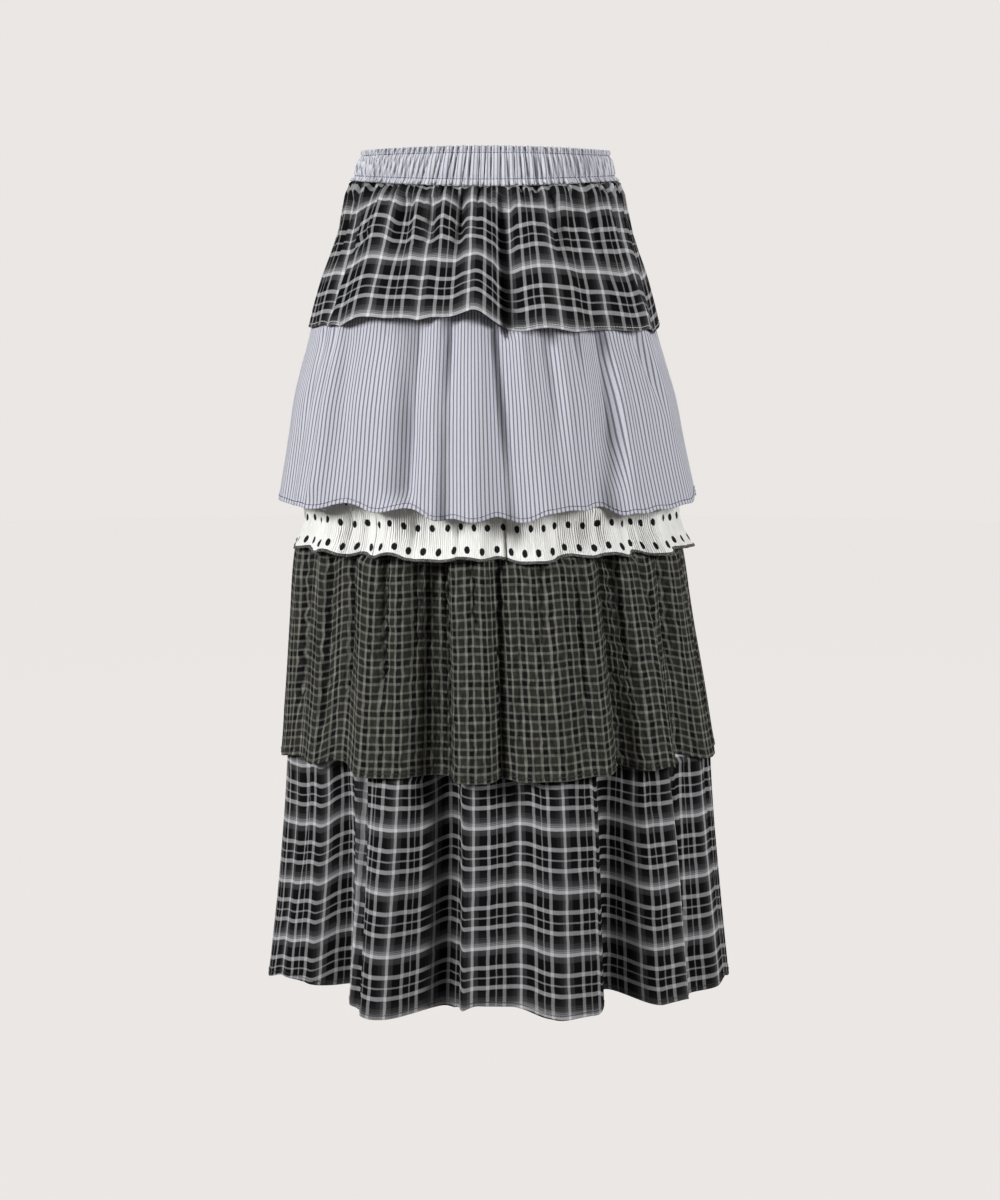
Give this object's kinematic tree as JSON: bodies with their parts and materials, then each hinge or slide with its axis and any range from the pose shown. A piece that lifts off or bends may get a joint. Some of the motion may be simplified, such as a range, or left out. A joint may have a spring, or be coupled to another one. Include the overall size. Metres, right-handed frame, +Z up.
{
  "type": "tiered ruffle skirt",
  "caption": "Long skirt of five gathered, mixed-cloth tiers on an elastic waistband, held in its worn, hollow shape and open at waist and hem.",
  "frame": {"origin": "centre of the waist opening, at half the height of the waistband", "axes": "+Z up along the skirt's length, out of the waist opening; the front of the skirt faces -Y; +X is to the right for someone who looks at the front"},
  "size_m": [0.4752, 0.3972, 0.844],
  "materials": {
    "ticking_stripe": "soft matte woven cotton",
    "plaid_cotton": "soft matte woven cotton",
    "dotted_crinkle": "crinkled light cotton",
    "check_seersucker": "puckered cotton"
  },
  "bodies": {
    "root": {"waistband": "ticking_stripe", "plaid_flounce_front": "plaid_cotton", "plaid_flounce_back": "plaid_cotton", "striped_tier_front": "ticking_stripe", "striped_tier_back": "ticking_stripe", "dotted_ruffle_front": "dotted_crinkle", "dotted_ruffle_back": "dotted_crinkle", "check_tier_front": "check_seersucker", "check_tier_back": "check_seersucker", "hem_tier_front": "plaid_cotton", "hem_tier_back": "plaid_cotton"}
  },
  "joints": []
}
